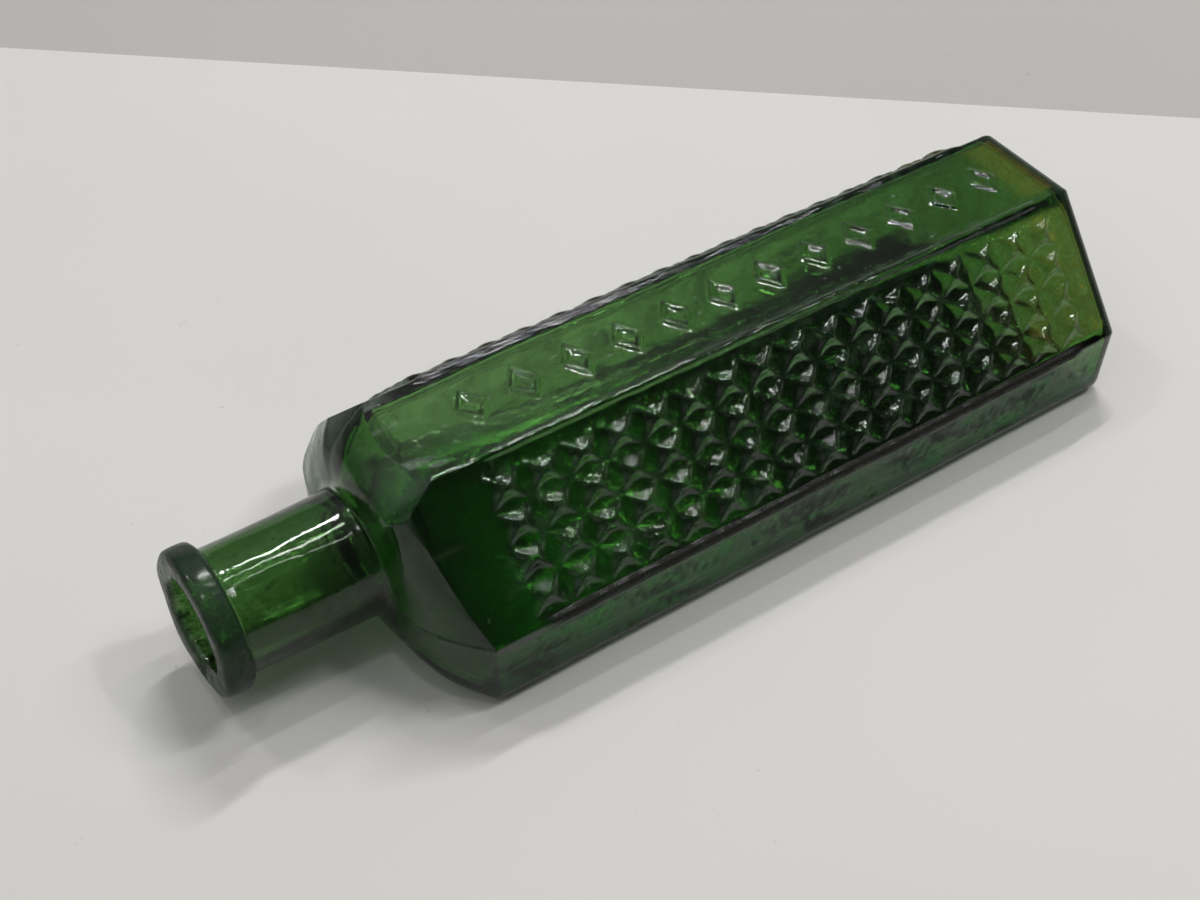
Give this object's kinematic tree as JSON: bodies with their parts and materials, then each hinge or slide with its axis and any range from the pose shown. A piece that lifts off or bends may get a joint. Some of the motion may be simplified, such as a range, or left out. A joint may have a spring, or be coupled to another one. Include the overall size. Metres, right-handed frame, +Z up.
{
  "type": "poison bottle",
  "caption": "Six-sided green glass poison bottle with star-moulded sloping panels, a domed shoulder, a round neck and a flat collar lip, lying on its flat back.",
  "frame": {"origin": "centre of the bounding box on the surface the bottle lies on, under its flat back", "axes": "+Z up, the way the star panels face; the bottle lies along X, with its mouth towards -X and its foot towards +X; +Y is the far side in the picture"},
  "size_m": [0.174, 0.0588, 0.0365],
  "materials": {
    "body_glass": "gloss",
    "lip_glass": "gloss, worn"
  },
  "bodies": {
    "root": {"base": "body_glass", "body": "body_glass", "shoulder": "body_glass", "neck": "body_glass", "lip": "lip_glass"}
  },
  "joints": []
}
